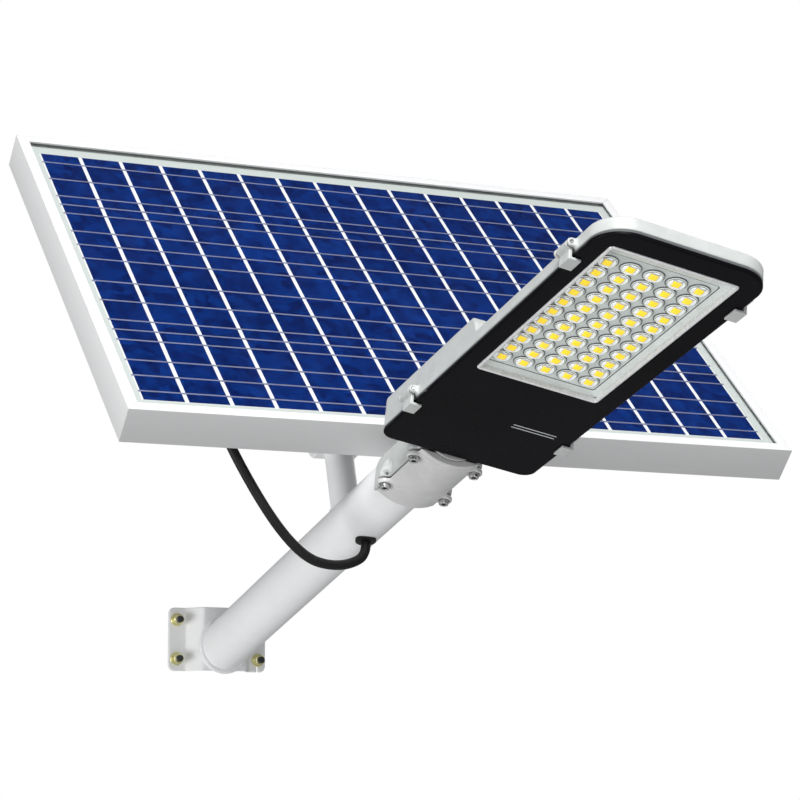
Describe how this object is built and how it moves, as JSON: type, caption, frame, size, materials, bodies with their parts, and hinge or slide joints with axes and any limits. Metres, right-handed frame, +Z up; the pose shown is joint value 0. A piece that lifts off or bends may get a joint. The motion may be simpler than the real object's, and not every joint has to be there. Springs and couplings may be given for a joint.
{
  "type": "solar street lamp",
  "caption": "Wall-mounted solar street lamp: tilting framed solar panel on a strut, and an LED head on a sloping tube arm with a clamp.",
  "frame": {"origin": "centre of the wall bracket on the wall plane, the centre of its four anchor studs", "axes": "+Y into the wall along the anchor studs, +Z up the wall, the arm and lamp head reach towards -Y"},
  "size_m": [0.67, 0.9637, 0.5221],
  "materials": {
    "white_paint": "smooth white powder coat",
    "yellow_zinc": "yellow passivated zinc",
    "plain_steel": "bright drawn steel",
    "stainless": "stainless steel",
    "galvanised": "hot-dip galvanised",
    "frame_silver": "clear anodised, off white",
    "solar_glass": "low-iron tempered glass",
    "solar_cell": "blue polycrystalline silicon",
    "cell_ribbon": "tinned ribbon",
    "backsheet": "white backsheet film",
    "black_plastic": "black moulded plastic",
    "black_rubber": "black rubber",
    "cast_grey": "light grey coated die casting",
    "cast_plain": "as-cast aluminium",
    "face_black": "gloss black",
    "bright_trim": "bright rolled edge",
    "reflector": "satin metallised reflector",
    "clear_glass": "clear tempered glass",
    "led_white": "white solder mask",
    "led_phosphor": "yellow phosphor",
    "lens_clear": "clear acrylic",
    "seal_grey": "silicone seal",
    "battery_blue": "shrink sleeve",
    "board_green": "solder mask"
  },
  "bodies": {
    "arm": {"wall_bracket": "white_paint", "anchor_studs": "plain_steel", "anchor_washers": "yellow_zinc", "anchor_nuts": "yellow_zinc", "arm_tube": "white_paint", "arm_weld": "white_paint", "cable_grommet": "black_rubber", "strut_tube": "white_paint", "strut_weld": "white_paint", "strut_head": "white_paint", "tilt_bolt": "stainless", "tilt_nut": "stainless"},
    "panel": {"frame_rail_top": "frame_silver", "frame_rail_bottom": "frame_silver", "frame_rail_left": "frame_silver", "frame_rail_right": "frame_silver", "frame_corner_keys": "galvanised", "panel_glass": "solar_glass", "cell_strings": "solar_cell", "cell_ribbons": "cell_ribbon", "panel_backsheet": "backsheet", "junction_box": "black_plastic", "junction_lid": "black_plastic", "junction_gland": "black_plastic", "back_rail_left": "galvanised", "back_rail_right": "galvanised", "rail_bolts": "stainless", "hinge_plate": "galvanised", "hinge_plate_bolts": "stainless", "lock_bolt": "stainless", "lock_nut": "stainless", "panel_cable": "black_rubber"},
    "head": {"lamp_housing": "cast_grey", "clamp_cap": "cast_plain", "clamp_screws": "stainless", "face_plate": "face_black", "window_bezel": "bright_trim", "window_pane": "clear_glass", "face_gasket": "seal_grey", "led_board": "led_white", "reflector_tray": "reflector", "led_chips": "led_phosphor", "led_lenses": "lens_clear", "battery_cells": "battery_blue", "battery_tray": "black_plastic", "controller_board": "board_green", "controller_parts": "black_plastic", "head_gland": "black_plastic", "clip_pins": "stainless"},
    "clip_left_rear": {"face_clip_left_rear": "cast_grey"},
    "clip_left_front": {"face_clip_left_front": "cast_grey"},
    "clip_right_rear": {"face_clip_right_rear": "cast_grey"},
    "clip_right_front": {"face_clip_right_front": "cast_grey"}
  },
  "joints": [
    {"name": "panel_tilt", "type": "hinge", "parent": "arm", "child": "panel", "pos_m": [0, -0.30544, 0.18222], "axis": [1, 0, 0], "range_deg": [-16, 1], "deforming": ["panel_cable"]},
    {"name": "head_roll", "type": "hinge", "parent": "arm", "child": "head", "pos_m": [0, -0.50361, 0.13522], "axis": [0, -0.9592, 0.2827], "range_deg": [-17, 43]},
    {"name": "clip_left_rear_hinge", "type": "hinge", "parent": "head", "child": "clip_left_rear", "pos_m": [-0.07387, -0.61786, 0.1713], "axis": [0, 0.9659, -0.2588], "range_deg": [0, 95]},
    {"name": "clip_left_front_hinge", "type": "hinge", "parent": "head", "child": "clip_left_front", "pos_m": [-0.07387, -0.88639, 0.24325], "axis": [0, 0.9659, -0.2588], "range_deg": [0, 95]},
    {"name": "clip_right_rear_hinge", "type": "hinge", "parent": "head", "child": "clip_right_rear", "pos_m": [0.07343, -0.62646, 0.13923], "axis": [0, -0.9659, 0.2588], "range_deg": [0, 95]},
    {"name": "clip_right_front_hinge", "type": "hinge", "parent": "head", "child": "clip_right_front", "pos_m": [0.07343, -0.89498, 0.21119], "axis": [0, -0.9659, 0.2588], "range_deg": [0, 95]}
  ]
}
